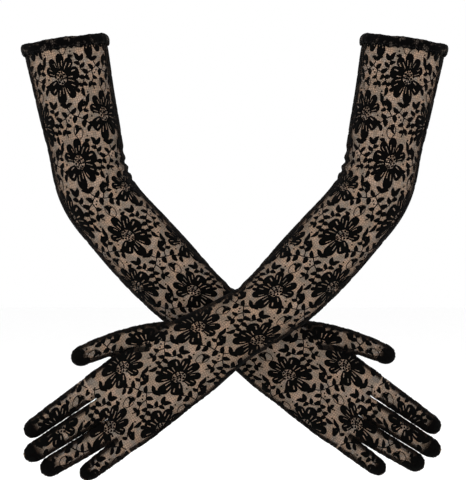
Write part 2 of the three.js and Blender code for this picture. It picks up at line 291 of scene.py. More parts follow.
def whole_skin():
    """Arm, palm and fingers as one smooth skin, open at the arm, cut along the seam plane."""
    points, faces = [], []
    tubes = [finger_tube(finger, 1 if name == "thumb" else SLIMMED) for name, finger in HAND.items()]
    for part_points, part_faces in [sleeve_tube()] + tubes:
        start = sum(len(p) for p in points)
        points.append(part_points)
        faces.extend(tuple(start + v for v in face) for face in part_faces)
    skin = new_object("glove_skin", np.concatenate(points), faces)
    only(skin)
    remesh = skin.modifiers.new("one_skin", "REMESH")
    remesh.mode = "VOXEL"
    remesh.voxel_size = VOXEL
    remesh.use_smooth_shade = True
    bpy.ops.object.modifier_apply(modifier=remesh.name)
    smooth = skin.modifiers.new("soft_crotches", "SMOOTH")
    smooth.factor = 0.5
    smooth.iterations = SOFTENING_ROUNDS
    bpy.ops.object.modifier_apply(modifier=smooth.name)
    bpy.ops.object.mode_set(mode="EDIT")
    bpy.ops.mesh.select_all(action="SELECT")
    top = point_at(np.array(PANEL_TOP))
    down = direction(np.array(HEM_LEAN))
    bpy.ops.mesh.bisect(plane_co=(top[0], 0, top[1]), plane_no=(down[0], 0, down[1]), clear_inner=True)
    bpy.ops.mesh.select_all(action="SELECT")
    bpy.ops.mesh.bisect(plane_co=(0, 0, 0), plane_no=(0, 1, 0))
    bpy.ops.object.mode_set(mode="OBJECT")
    points, faces = read_mesh(skin)
    normals = np.empty(points.size)
    skin.data.vertices.foreach_get("normal", normals)
    bpy.data.objects.remove(skin)
    on_seam = np.abs(points[:, 1]) < 1e-3
    offset = points[:, [0, 2]] - HAND_ORIGIN
    filled = (smoothstep(offset @ HAND_ALONG, *FILLED_ALONG)
              * (1 - smoothstep(offset @ HAND_ACROSS, *FILLED_ACROSS)))
    points += normals.reshape(-1, 3) * (FILLED_OUT * filled)[:, None]
    points[on_seam, 1] = 0
    return points, faces


def kept(points, faces, wanted):
    """The faces that are wanted, with only the points that they use."""
    chosen = [face for face, want in zip(faces, wanted) if want]
    used = sorted({v for face in chosen for v in face})
    number = {old: new for new, old in enumerate(used)}
    return points[used], [tuple(number[v] for v in face) for face in chosen]


SKIN_POINTS, SKIN_FACES = whole_skin()
SKIN_SIDE = np.array([SKIN_POINTS[list(face), 1].mean() for face in SKIN_FACES])
SKIN_TREE = BVHTree.FromPolygons([tuple(p) for p in SKIN_POINTS], SKIN_FACES)


# ------------------------------------------------------------------ folds and the worn shape
# Distance along, fan (how far the crease has moved along by the other side), depth and half width of each.
INNER_ELBOW_CREASES = ((113, -10, 1.5, 3.2), (125, -3, 2.4, 3.6), (137, 5, 2.0, 3.4), (151, 13, 1.1, 3.2))
WRIST_CREASES = ((292, 6, 0.7, 3), (303, -2, 0.8, 3), (314, -8, 0.5, 3))
UNEVENNESS = 0.3  # depth of the slight waves all over the arm


def folds(points):
    """How far each plan point sinks towards the middle line, and how far along the arm it is."""
    along, across = locate(points)
    little, thumb, _ = sleeve_at(along)
    outwards = np.clip(across / np.where(across > 0, thumb, little), -1, 1)
    inner = smoothstep(outwards, -0.35, 0.95)
    sunk = np.zeros(len(points))
    for at, fan, deep, wide in INNER_ELBOW_CREASES:
        line = at + fan * (1 - outwards) * 1.2
        sunk += deep * inner * np.exp(-((along - line) / wide) ** 2)
    for at, fan, deep, wide in WRIST_CREASES:
        line = at + fan * outwards
        sunk += deep * smoothstep(np.abs(outwards), 0, 0.9) * np.exp(-((along - line) / wide) ** 2)
    wave = np.sin(along / 17 + 2.2 * outwards) * np.sin(along / 41 - 3 * outwards + points[:, 1] / 30)
    waves = UNEVENNESS * wave * smoothstep(along, 12, 60) * (1 - smoothstep(along, 380, 440))
    return sunk + waves, along


def relaxed(points):
    """How far each plan point is bent towards the palm on a relaxed hand."""
    wrist = point_at(np.array(float(WRIST_AT + WRIST_SPAN / 2)))
    offset = points[:, [0, 2]] - wrist
    down = np.clip(offset @ HAND_ALONG, 0, None)
    across = offset @ HAND_ACROSS
    fingertip = hand_to_plan(HAND["middle"].path[-1:])[0]
    hand_length = (fingertip - wrist) @ HAND_ALONG
    cup = CUPPING * (across / CUPPING_HALF_WIDTH) ** 2 * smoothstep(down, 0, CUPPING_RUN)
    return CURL * (down / hand_length) ** 2 + cup


def folded(points):
    """Plan points with the folds put in, in millimetres."""
    sunk, along = folds(points)
    middle = point_at(along)
    inwards = np.stack([middle[:, 0], np.zeros(len(points)), middle[:, 1]], axis=1) - points
    inwards /= np.maximum(np.linalg.norm(inwards, axis=1), 1)[:, None]
    return points + inwards * sunk[:, None]


def worn(points, side):
    """Plan points in millimetres as points of the worn glove in metres."""
    x, y, z = folded(points).T
    return np.stack([side * x, y + relaxed(points) - side * PAIR_SLOPE * z, z], axis=1) * MM


# ------------------------------------------------------------------ flat lace pattern, mm
# u runs across the arm and v along it towards the hand. Every shape is a grid of rows of points.
COLUMN = 33.5  # between columns of flowers, which sit half a repeat apart
REPEAT = 79.0
FLOWER_HALF = (17.4, 22.8)
FIRST_FLOWER = (-8.5, 37)
# The lace twists on the arm: distance along, and how far its columns have moved to the thumb side by there.
TWIST = ((110, 0), (191, 4.5), (274, 13), (313, 21), (354, 28), (395, 32), (430, 34), (475, 26), (512, 17))
PALM_SHIFT = (13, 21)  # the palm panel is cut from another place on the lace


def grid(rows, open_cells=frozenset()):
    return {"rows": rows, "open": open_cells}


CURVE_STEPS = 3


def curve(points):
    """A smooth line through a few points, with a few steps between one and the next."""
    knots = [points[0]] + list(points) + [points[-1]]
    line = []
    for i in range(1, len(knots) - 2):
        a, b, c, d = (np.array(k, float) for k in knots[i - 1:i + 3])
        for step in range(CURVE_STEPS):
            t = step / CURVE_STEPS
            line.append(0.5 * (2 * b + (c - a) * t + (2 * a - 5 * b + 4 * c - d) * t ** 2
                               + (3 * b - a - 3 * c + d) * t ** 3))
    return line + [np.array(points[-1], float)]


def band(line, half_width):
    """A strip along a line, whose half width depends on the share of its length."""
    rows = []
    for i, point in enumerate(line):
        ahead = line[min(i + 1, len(line) - 1)] - line[max(i - 1, 0)]
        ahead = ahead / max(np.hypot(*ahead), 1e-6)
        sideways = np.array([-ahead[1], ahead[0]])
        rows.append([point + sideways * half_width(i / (len(line) - 1)) * column for column in (-1, 0, 1)])
    return grid(rows)


def stem(points, half_width):
    return band(curve(points), lambda share: half_width)


LEAF_FULLNESS = 1.45


def leaf(base, tip, fat, bow):
    """A teardrop leaf from its stalk to its point, bowed sideways."""
    (x0, y0), (x1, y1) = base, tip
    middle = ((x0 + x1) / 2 - (y1 - y0) * bow, (y0 + y1) / 2 + (x1 - x0) * bow)

    def half_width(share):
        swell = math.sin(math.pi * min(1, 0.06 + 0.94 * share) ** 0.8)  # fullest nearer the stalk
        return LEAF_FULLNESS * fat * (0.16 + 0.9 * swell)

    return band(curve([base, middle, tip]), half_width)


PETAL_ROWS = (0.0, 0.14, 0.3, 0.46, 0.6, 0.74, 0.88, 0.96, 1.0)  # shares of its length
PETAL_COLUMNS = (-1, -0.52, -0.34, 0.0, 0.34, 0.52, 1)  # shares of its half width
PETAL_ROOT, PETAL_SHOULDER = 0.27, 0.72  # where a petal starts, and where its round end does
# Open cells (row, column) that leave light slits beside a petal's middle rib.
SLITS = ({(2, 4), (3, 4)},
         {(1, 1), (2, 1), (3, 1), (3, 4), (4, 4)},
         {(1, 1), (2, 1), (2, 4), (3, 4)},
         {(1, 4), (2, 4), (3, 1), (4, 1)})
# Angle in degrees, reach, half width and kind of slits of each petal.
PETALS = ((-120, 0.9, 0.19, 0), (-82, 0.97, 0.22, 2), (-46, 0.99, 0.21, 1), (-8, 1.0, 0.27, 3),
          (27, 0.93, 0.2, 1), (59, 1.01, 0.21, 0), (103, 1.07, 0.26, 2), (147, 0.93, 0.27, 3),
          (-152, 0.84, 0.18, 1))


def petal(angle, reach, half, slits):
    """A rounded petal; a slit leaves a light gap beside its middle rib."""
    along = np.array([math.cos(angle), math.sin(angle)])
    sideways = np.array([-along[1], along[0]])
    rows = []
    for share in PETAL_ROWS:
        if share < PETAL_SHOULDER:
            width = 0.42 + 0.58 * math.sin(share / PETAL_SHOULDER * math.pi / 2)
        else:
            width = math.sqrt(max(0.02, 1 - ((share - PETAL_SHOULDER) / 0.285) ** 2))
        middle = along * (PETAL_ROOT + (reach - PETAL_ROOT) * share)
        rows.append([(middle + sideways * half * width * column) * FLOWER_HALF for column in PETAL_COLUMNS])
    return grid(rows, SLITS[slits])


SEED_RINGS = ((12, 0.3, 1.2), (9, 0.19, 1.1), (4, 0.08, 1.0))  # seeds, place out from the middle and radius
SEED_HEAD = 0.95
STAMENS, STAMEN_HALF = 5, 0.28
STEM_HALF, BELL_HALF = 0.5, 0.36


def dot(x, y, radius):
    ring = [np.array([x + radius * math.cos(k * math.pi / 3), y + radius * math.sin(k * math.pi / 3)])
            for k in range(6)]
    return grid([[ring[0], ring[1]], [ring[5], ring[2]], [ring[4], ring[3]]])


def flower():
    shapes = [petal(math.radians(angle), reach, half, slits) for angle, reach, half, slits in PETALS]
    wide, tall = FLOWER_HALF
    for count, out, radius in SEED_RINGS:
        for k in range(count):
            angle = 2 * math.pi * (k + 0.3) / count
            shapes.append(dot(wide * out * math.cos(angle), 1.2 * tall * out * math.sin(angle), radius))
    for k in range(STAMENS):
        angle = 2 * math.pi * k / STAMENS
        knots = [(wide * out * math.cos(angle + turn), tall * out * math.sin(angle + turn))
                 for out, turn in ((0.3, 0), (0.08, 1), (-0.28, 0.6))]
        shapes.append(stem(knots, STAMEN_HALF))
    return shapes


STEMS = (((-1.5, 22), (-0.5, 28), (2.5, 34), (8, 38), (13.5, 41.5), (19, 49)),
         ((1.5, 33), (-4, 37), (-9.5, 39.5), (-13.5, 45), (-16, 52)),
         ((-4, 37), (-3.5, 43), (-6, 49), (-4.5, 55)),
         ((8, 38), (10.5, 34), (15.5, 31.5), (19.5, 27)),
         ((10.5, 34), (9.4, 30.5), (10, 28)),
         ((-10, 39.5), (-13.6, 35.5), (-14.6, 31), (-15, 26)))
# Stalk, point, half width and bow of each leaf.
LEAVES = (((-0.5, 28), (-7, 23.8), 1.5, 0.15), ((-0.5, 27.5), (5.2, 25), 1.35, -0.15),
          ((2.2, 33.5), (7.5, 29.2), 1.35, 0.1), ((6.2, 37), (3.8, 43.2), 1.5, 0.1),
          ((12, 40.4), (17.2, 36.8), 1.45, 0.15), ((13.8, 42), (12.2, 48.6), 1.55, 0.15),
          ((16.6, 45.5), (21.8, 43.6), 1.3, 0.2), ((17.5, 47.5), (14.8, 53.2), 1.3, 0.1),
          ((-3, 36.2), (-6.8, 31), 1.45, 0.12), ((-7.8, 38.8), (-12.4, 34.2), 1.5, -0.12),
          ((-10.4, 40.4), (-7.6, 45.6), 1.3, 0.15), ((-12.6, 43.4), (-17.8, 41.6), 1.5, 0.12),
          ((-14.4, 46.6), (-10.6, 50.6), 1.35, 0.1), ((-15.6, 50.5), (-19.8, 47.4), 1.25, 0.1),
          ((-3.8, 42.2), (0.6, 45.2), 1.25, 0.15), ((-5.4, 47.8), (-9.4, 52.8), 1.35, 0.12),
          ((-5.6, 50), (-1.4, 51.6), 1.2, -0.1), ((11, 33.4), (10.4, 27.6), 1.3, 0.12),
          ((14.8, 31.8), (18.8, 34.4), 1.25, 0.15), ((17.6, 29.6), (15.6, 24.4), 1.25, 0.1),
          ((19.5, 27), (22.5, 18.5), 1.2, -0.12), ((-16, 52), (-15, 60.5), 1.2, 0.12),
          ((4.2, 45.5), (2.4, 53.5), 1.05, -0.2), ((4.6, 45.2), (9.6, 49.4), 1.0, 0.25),
          ((10, 28), (15.5, 22.6), 1.5, 0.12), ((10, 28), (16.2, 29), 1.3, -0.1),
          ((-15, 26), (-9.6, 20.4), 1.5, 0.1), ((-15, 26), (-18, 18.6), 1.4, 0.1),
          ((-14.3, 32.4), (-9.6, 28.8), 1.3, 0.1), ((-14.6, 30), (-19.6, 27.4), 1.3, 0.1),
          ((-19.5, 55.5), (-24, 51), 1.3, 0.1), ((9.5, 60), (14.5, 60.5), 1.2, 0.1))
BELL = ((3.8, 44.5), (7.6, 46.8), (9.4, 51.4), (8.2, 56), (5.2, 58.4), (2.6, 55), (1.6, 50), (3.8, 44.5))
SEED_HEADS = ((-19.2, 33.5), (-17.6, 36.6), (20.6, 39.4), (22.8, 36.6), (-1.2, 39.6), (0.9, 37.4),
              (12.6, 56.4), (-12, 56.6))


def spray():
    """Two stems with paired leaves, an open bell and seed heads, on the ground below a flower."""
    shapes = [stem(points, STEM_HALF) for points in STEMS]
    shapes += [leaf(*parts) for parts in LEAVES]
    shapes.append(stem(BELL, BELL_HALF))
    shapes += [dot(x, y, SEED_HEAD) for x, y in SEED_HEADS]
    return shapes


def joined(shapes):
    """All the shapes as points, quads, and for each point whether it lies on a shape's edge."""
    points, quads = [], []
    for shape in shapes:
        rows, start = shape["rows"], len(points)
        wide = len(rows[0])
        points += [p for row in rows for p in row]
        for row in range(len(rows) - 1):
            for column in range(wide - 1):
                if (row, column) not in shape["open"]:
                    a = start + row * wide + column
                    quads.append((a, a + 1, a + wide + 1, a + wide))
    uses = {}
    for quad in quads:
        for i in range(4):
            edge = frozenset((quad[i], quad[(i + 1) % 4]))
            uses[edge] = uses.get(edge, 0) + 1
    rim = np.zeros(len(points), bool)
    for edge, count in uses.items():
        if count == 1:
            rim[list(edge)] = True
    return np.array(points), np.array(quads), rim


# How far a repeat reaches from its flower: to each side, back towards the arm, and on towards the fingers.
REACH_ASIDE, REACH_BACK, REACH_ON = 30, 60, 140


def lattice(motif, low, high):
    """The repeat copied over a rectangle of the flat lace."""
    points, quads, rim = motif
    first = np.floor((low - (REACH_ASIDE, REACH_ON)) / (COLUMN, REPEAT)).astype(int)
    last = np.ceil((high + (REACH_ASIDE, REACH_BACK)) / (COLUMN, REPEAT)).astype(int)
    centres = [(FIRST_FLOWER[0] + COLUMN * column, FIRST_FLOWER[1] + REPEAT * (row + column % 2 / 2))
               for column in range(first[0], last[0] + 1) for row in range(first[1], last[1] + 1)]
    spots = np.concatenate([points + centre for centre in centres])
    faces = np.concatenate([quads + len(points) * i for i in range(len(centres))])
    rims = np.tile(rim, len(centres))
    middle = spots[faces].mean(1)
    inside = ((middle > low) & (middle < high)).all(1)
    used, faces = np.unique(faces[inside], return_inverse=True)
    return spots[used], faces.reshape(-1, 4), rims[used]


# ------------------------------------------------------------------ lace laid on the skin
RIM_LIFT, CROWN_LIFT = 0.16, 0.55  # the raised thread stands this far off the net, mm
SKIN_MISS = 1.7  # a spot of lace further than this from the skin lies inside the glove and is left out
SMALLEST_CROSS, LARGEST_REACH = 0.08, 9  # a quad squeezed or stretched past these at an edge is left out
LAID_FLAT = (290, 370)  # the lace is wrapped round the arm before this, and laid flat on the hand after it
FINGER_STRIP = 10.6  # half width of the strip of lace that a finger takes


ARC_STEPS = 25


def arc_angle(offset, half, depth):
    """The angle round a quarter ellipse, from its front, at an arc length from there."""
    steps = np.linspace(0, math.pi / 2, ARC_STEPS)
    speed = np.sqrt((half[:, None] * np.cos(steps)) ** 2 + (depth[:, None] * np.sin(steps)) ** 2)
    arc = np.concatenate([np.zeros((len(half), 1)), np.cumsum((speed[:, 1:] + speed[:, :-1]) / 2, axis=1)
                          * (steps[1] - steps[0])], axis=1)
    place = (arc < np.abs(offset)[:, None]).sum(1)
    low = np.clip(place - 1, 0, ARC_STEPS - 2)
    rows = np.arange(len(half))
    share = (np.abs(offset) - arc[rows, low]) / (arc[rows, low + 1] - arc[rows, low])
    return np.minimum(steps[low] + np.clip(share, 0, 1) * (steps[1] - steps[0]), math.pi / 2)


def on_arm_and_hand(spots, face_side):
    """Plan points of spots of lace on the arm, palm and four fingers, and the region of each."""
    u, along = spots.T
    little, thumb, depth = sleeve_at(along)
    half = np.where(u > 0, thumb, little)
    flatten = smoothstep(along, *LAID_FLAT)
    wrapped = arc_angle(u, half, depth)
    flat = np.arcsin(np.clip(np.abs(u) / half, 0, 1))
    angle = wrapped + (flat - wrapped) * flatten
    outside = angle > math.pi / 2 - 1e-3
    across, deep = np.sign(u) * half * np.sin(angle), depth * np.cos(angle)
    region = np.zeros(len(u), int)
    past = along - FINGERS_AT
    for number, name in enumerate(("index", "middle", "ring", "little"), 1):
        finger = HAND[name]
        line, halves = finger.path, finger.half_at(finger.distance)
        middle = np.interp(past, line[:, 0], line[:, 1])
        width = np.interp(past, line[:, 0], halves)
        mine = (past > 1) & (np.abs(u - middle) < FINGER_STRIP)
        share = np.clip((u - middle) / np.maximum(width, 0.1), -1, 1)
        reach = np.where(past < line[-1, 0], width, 0)
        region[mine] = number
        across[mine] = (middle + reach * share)[mine]
        deep[mine] = (FINGER_FLATNESS * reach * np.sqrt(1 - share ** 2))[mine]
        outside[mine] = ((np.abs(share) > 0.999) | (past >= line[-1, 0]))[mine]
    lost = (past > 1) & (region == 0)
    flat_points = point_at(along) + thumbwards(ring_lean_at(along)) * across[:, None]
    points = np.stack([flat_points[:, 0], face_side * deep, flat_points[:, 1]], axis=1)
    return points, region, outside, lost


def on_thumb(spots, face_side):
    finger = HAND["thumb"]
    u, distance = spots.T
    half = np.maximum(finger.half_at(distance), 0.05)
    angle = arc_angle(u, half, half * FINGER_FLATNESS)
    middle, across = finger.at(distance)
    flat = hand_to_plan(middle + across * (np.sign(u) * half * np.sin(angle))[:, None])
    points = np.stack([flat[:, 0], face_side * half * FINGER_FLATNESS * np.cos(angle), flat[:, 1]], axis=1)
    outside = (angle > math.pi / 2 - 1e-3) | (distance > finger.length)
    return points, np.zeros(len(u), int), outside, np.zeros(len(u), bool)


def laid(patch, place, face_side):
    """A patch of lace snapped to the skin, with its rims low and its crowns raised."""
    spots, faces, rim = patch
    points, region, outside, lost = place(spots, face_side)
    for i, point in enumerate(points):
        if lost[i]:
            continue
        spot, normal, _, distance = SKIN_TREE.find_nearest(tuple(point))
        if distance > SKIN_MISS:
            lost[i] = True
            continue
        lift = RIM_LIFT if rim[i] else CROWN_LIFT
        y = min(spot.y, 0) if face_side < 0 else max(spot.y, 0)
        points[i] = (spot.x + normal.x * lift, y + normal.y * lift, spot.z + normal.z * lift)
    ok = ~lost[faces].any(1) & ~outside[faces].all(1)
    numbers = region[faces]
    lowest = np.where(numbers == 0, len(HAND), numbers).min(1)  # no quad spans two fingers
    ok &= (numbers.max(1) == 0) | (lowest == numbers.max(1))
    corners = points[faces]
    diagonal = np.cross(corners[:, 2] - corners[:, 0], corners[:, 3] - corners[:, 1])
    ok &= np.linalg.norm(diagonal, axis=1) > SMALLEST_CROSS
    ok &= np.linalg.norm(corners - corners.mean(1)[:, None], axis=2).max(1) < LARGEST_REACH
    turned = faces[:, ::-1] if face_side < 0 else faces
    return points, turned[ok]


def lace_on(face_side):
    """All the raised lace on the back panel (-1) or the palm panel (1)."""
    motif = joined(flower() + spray())
    shift = np.array((0, 0) if face_side < 0 else PALM_SHIFT, float)
    thumb = HAND["thumb"]
    # Two corners of the flat lace that each part takes, and how it goes on.
    patches = (((-98, PANEL_TOP + 0.5), (62, FINGERS_AT + 90), on_arm_and_hand),
               ((-24, 6), (24, thumb.length + 2), on_thumb))
    points, faces, marks = [], [], []
    for low, high, place in patches:
        spots, quads, rim = lattice(motif, np.array(low) + shift, np.array(high) + shift)
        cut = spots - shift
        if place is on_arm_and_hand:
            cut[:, 0] += np.interp(cut[:, 1], *zip(*TWIST))
        made, turned = laid((cut, quads, rim), place, face_side)
        faces.append(turned + sum(len(p) for p in points))
        points.append(made)
        marks.append(spots)
    points, marks = np.concatenate(points), np.concatenate(marks)
    used, turned = np.unique(np.concatenate(faces), return_inverse=True)
    return {"points": points[used], "faces": [tuple(f) for f in turned.reshape(-1, 4)], "uv": marks[used]}


# ------------------------------------------------------------------ the net panels
# Painted shade along the seams, where the arm and fingers turn away and the net is seen edge-on, and a
# darkening
# towards the fingertips: parts of full darkness, each with the stretch that it fades over. Insets from an edge
# are in mm, and places on a finger are shares of its length.
ARM_EDGES = ((0.6, 2.2, 4.6), (0.4, 3, 13))
FINGER_EDGE = (2.2, 6.6)
FINGER_ENDS = ((0.25, 0.25, 0.55), (0.75, 0.8, 0.9))
FINGER_EDGE_FROM = 34  # along a finger's middle line, where it has left the palm
EDGE_DARKNESS = 0.96


def edge_shade_and_dark_tips(points, along, across):
    """Painted shade, nearly black, along the seams of arm and fingers where they turn away, and a darkening
    towards the fingertips.
    """
    little, thumb, _ = sleeve_at(along)
    inset = np.where(across > 0, thumb - across, little + across)
    on_arm = sum(dark * (1 - smoothstep(inset, low, high)) for dark, low, high in ARM_EDGES)
    fingers = np.zeros(len(points))
    edge = np.where(along < FINGERS_AT, on_arm, 0)
    flat = points[:, [0, 2]] - HAND_ORIGIN
    hand = np.stack([flat @ HAND_ALONG, flat @ HAND_ACROSS], axis=1)
    for finger in HAND.values():
        offset = hand[:, None] - finger.path[None]
        nearest = (offset ** 2).sum(2).argmin(1)
        gap = np.sqrt((offset ** 2).sum(2).min(1))
        half = finger.half_at(finger.distance)[nearest]
        mine = (gap < half + 1.5) & (finger.distance[nearest] > FINGER_EDGE_FROM)
        gone = finger.distance[nearest] / finger.length
        end = sum(dark * smoothstep(gone, low, high) for dark, low, high in FINGER_ENDS)
        fingers = np.where(mine, np.maximum(fingers, end), fingers)
        edge = np.where(mine, 1 - smoothstep(half - gap, *FINGER_EDGE), edge)
    return np.clip(np.maximum(edge * EDGE_DARKNESS, fingers), 0, 1)


def net_panel(face_side):
    points, faces = kept(SKIN_POINTS, SKIN_FACES, SKIN_SIDE * face_side > 0)
    along, across = locate(points)
    little, thumb, depth = sleeve_at(along)
    half = np.where(across > 0, thumb, little)
    turn = np.arctan2(np.abs(across) / half, np.abs(points[:, 1]) / depth)
    wrapped = np.sign(across) * turn * (half + depth) / 2
    u = wrapped + (across - wrapped) * smoothstep(along, *LAID_FLAT)
    return {"points": points, "faces": faces, "uv": np.stack([u, along], axis=1),
            "edge_shade_and_dark_tips": edge_shade_and_dark_tips(points, along, across)}


# ------------------------------------------------------------------ overlocked seams
SEAM_NAMES = ("outer_arm_to_little", "little_to_ring", "ring_to_middle", "middle_to_index", "index_to_thumb",
              "thumb_to_inner_arm")
# Section of an overlocked edge: inwards from the panels' edge, and to the palm side.
SEAM_SECTION = ((-0.2, 0), (0.05, 0.5), (0.7, 0.62), (1.7, 0.44), (SEAM_ALLOWANCE - 0.3, 0.44),
                (SEAM_ALLOWANCE, 0), (SEAM_ALLOWANCE - 0.3, -0.44), (1.7, -0.44), (0.7, -0.62), (0.05, -0.5))
RINGS_A_STITCH = 3
STITCH_SLANT = 0.16  # of a stitch, for each mm inwards
TIP_GAP, HEM_GAP = 0.3, 4  # left free at a fingertip between two seams, and under the hem


def outline():
    """The panels' shared edge, from the little-finger side of the arm opening to its thumb side."""
    on_edge = SKIN_POINTS[:, 1] == 0
    after = {}
    for face in SKIN_FACES:
        for a, b in zip(face, face[1:] + face[:1]):
            if on_edge[a] and on_edge[b]:
                after.setdefault(a, set()).add(b)
                after.setdefault(b, set()).add(a)
    ends = [v for v, others in after.items() if len(others) == 1]
    start = min(ends, key=lambda v: SKIN_POINTS[v, 0])
    chain, seen = [start], {start}
    while True:
        onward = [v for v in after[chain[-1]] if v not in seen]
        if not onward:
            break
        chain.append(onward[0])
        seen.add(onward[0])
    line = SKIN_POINTS[chain][:, [0, 2]]
    for _ in range(4):
        line[1:-1] = (line[:-2] + 2 * line[1:-1] + line[2:]) / 4
    return line


def resampled(line, step):
    gone = np.concatenate([[0], np.cumsum(np.linalg.norm(np.diff(line, axis=0), axis=1))])
    at = np.linspace(0, gone[-1], max(8, round(gone[-1] / step)))
    return np.stack([np.interp(at, gone, line[:, axis]) for axis in (0, 1)], axis=1), at


def seam(line):
    """An overlocked edge along a line in the seam plane, its stitches standing out as slanted ridges."""
    ahead = np.gradient(line, axis=0)
    ahead /= np.linalg.norm(ahead, axis=1)[:, None]
    inwards = np.stack([-ahead[:, 1], ahead[:, 0]], axis=1)
    points = []
    for i, spot in enumerate(line):
        for inset, aside in SEAM_SECTION:
            ridge = 0.5 + 0.5 * math.cos(2 * math.pi * (i / RINGS_A_STITCH + inset * STITCH_SLANT))
            bulge = 0.8 + 0.42 * ridge
            looped = 0.3 * ridge if inset > 2.5 else 0  # the thread loops make the inner edge wavy
            flat = spot + inwards[i] * (inset + looped)
            points.append((flat[0], aside * bulge, flat[1]))
    along = np.repeat(np.arange(len(line)) * STITCH_PITCH / RINGS_A_STITCH, len(SEAM_SECTION))
    around = np.tile([inset for inset, _ in SEAM_SECTION], len(line))
    return {"points": np.array(points), "faces": tube_faces(len(line), len(SEAM_SECTION)),
            "uv": np.stack([around, along], axis=1)}


def seams():
    """The outline cut at the fingertips into six overlocked seams."""
    line = outline()
    tips = [0]
    for name in ("little", "ring", "middle", "index", "thumb"):
        tip = hand_to_plan(HAND[name].path[-1:])[0]
        tips.append(int(np.linalg.norm(line - tip, axis=1).argmin()))
    tips.append(len(line) - 1)
    made = {}
    for name, first, last in zip(SEAM_NAMES, tips, tips[1:]):
        run, at = resampled(line[first:last + 1], STITCH_PITCH / RINGS_A_STITCH)
        before, after = (TIP_GAP if end in tips[1:-1] else HEM_GAP for end in (first, last))
        made["seam_" + name] = seam(run[(at > before) & (at < at[-1] - after)])
    return made


# ------------------------------------------------------------------ the arm opening
def ring_points(angles, along, proud):
    """Plan points round the sleeve at distances along it, standing proud of its skin."""
    little, thumb, depth = sleeve_at(along)
    cosine, sine = np.cos(angles), np.sin(angles)
    half = np.where(cosine > 0, thumb, little) + proud
    flat = point_at(along) + thumbwards(np.full_like(along, HEM_LEAN)) * (half * cosine)[:, None]
    return np.stack([flat[:, 0], (depth + proud) * sine, flat[:, 1]], axis=1)


RING_RADIUS = 40.0  # the hem and elastic are turned on a round ring, which then goes round the sleeve
MEAN_RADIUS = 37  # of the arm opening, for thread patterns in mm
HEM_DROP = 0.6  # the visible hem lies this much lower than its plain form
HEM_SIDES, ELASTIC_SIDES = 320, 300
RIB_DEPTH = 0.12
HEM_STITCHES, HEM_STITCH_LENGTH, HEM_STITCH_HALF = 84, 2.1, 0.34


def turned_ring(section, around):
    """A closed band: one ring of edges extruded through its section, then bridged to itself."""
    deselect_all()
    down, proud = section[0]
    bpy.ops.mesh.primitive_circle_add(vertices=around, radius=RING_RADIUS + proud, location=(0, 0, -down))
    ring = bpy.context.object
    bpy.ops.object.transform_apply(location=True, rotation=False, scale=False)
    bpy.ops.object.mode_set(mode="EDIT")
    for next_down, next_proud in section[1:]:
        bpy.ops.mesh.extrude_edges_move(TRANSFORM_OT_translate={"value": (0, 0, down - next_down)})
        size = (RING_RADIUS + next_proud) / (RING_RADIUS + proud)
        bpy.ops.transform.resize(value=(size, size, 1), center_override=(0, 0, -next_down))
        down, proud = next_down, next_proud
    bpy.ops.mesh.select_all(action="DESELECT")
    bpy.ops.mesh.select_non_manifold()
    bpy.ops.mesh.bridge_edge_loops()
    bpy.ops.mesh.select_all(action="SELECT")
    bpy.ops.mesh.normals_make_consistent(inside=False)
    bpy.ops.object.mode_set(mode="OBJECT")
    return unrolled(ring)


def unrolled(ring):
    """Angle, distance down and height of each point of a ring, with its faces; the ring itself is removed."""
    points, faces = read_mesh(ring)
    bpy.data.objects.remove(ring)
    angles = np.arctan2(points[:, 1], points[:, 0]) % (2 * math.pi)
    return angles, -points[:, 2], np.hypot(points[:, 0], points[:, 1]) - RING_RADIUS, faces


def hem():
    """The top of the lace folded over the elastic: a gathered, rolled band with an uneven lower edge."""
    # Distance down and height off the sleeve: from the fold down the outside, under the edge and up the inside.
    section = ((0.2, -1.6), (0.0, -0.6), (0.0, 0.5), (0.7, 1.5), (2.5, 2.45), (4.7, 2.8), (7.0, 2.55),
               (8.9, 2.05), (10.2, 1.3), (10.5, 0.7), (9.9, 0.5), (7.3, 0.45), (5.2, 0.45), (5.2, -1.5))
    angles, down, proud, faces = turned_ring(section, HEM_SIDES)
    # Waves round the ring at counts that share no factor, so that no two gathers look alike.
    lower = smoothstep(down, 0.3 * HEM_HEIGHT, HEM_HEIGHT)
    outside = proud > 0.46
    lumps = np.sin(13 * angles + 1) + 0.7 * np.sin(29 * angles + 2 * np.sin(3 * angles))
    ragged = np.sin(31 * angles + 2 * np.sin(4 * angles)) + 0.7 * np.sin(53 * angles + 1.3)
    sway = np.sin(5 * angles + 0.6) + 0.6 * np.sin(11 * angles + 2)
    flare = 0.3 * np.abs(np.cos(angles)) ** 14 * smoothstep(proud, 0.4, 2)  # the seams stiffen the roll there
    marks = np.stack([angles * MEAN_RADIUS, down + proud], axis=1)
    down = down + HEM_DROP + 0.35 * sway + (0.12 + 0.45 * lower) * ragged * outside
    proud = proud + outside * (0.16 * lumps + 0.12 * lower * ragged + flare * (1 - 0.6 * lower))
    return {"points": ring_points(angles, down, proud), "faces": faces, "uv": marks}


def elastic():
    """A ribbed, braided band inside the fold of the hem."""
    half = ELASTIC_WIDTH / 2
    across = ((-half, -0.85), (-half, -0.15), (-0.6 * half, 0), (0, 0.08), (0.6 * half, 0), (half, -0.15),
              (half, -0.85), (0, -1.0))
    section = [(HEM_FOLD + HEM_DROP + half + down, proud) for down, proud in across]
    angles, down, proud, faces = turned_ring(section, ELASTIC_SIDES)
    rib = RIB_DEPTH * (np.round(angles / (2 * math.pi) * ELASTIC_SIDES) % 2)
    marks = np.stack([angles * MEAN_RADIUS, down], axis=1)
    return {"points": ring_points(angles, down, proud - np.where(proud > -0.5, rib, -rib)), "faces": faces,
            "uv": marks}


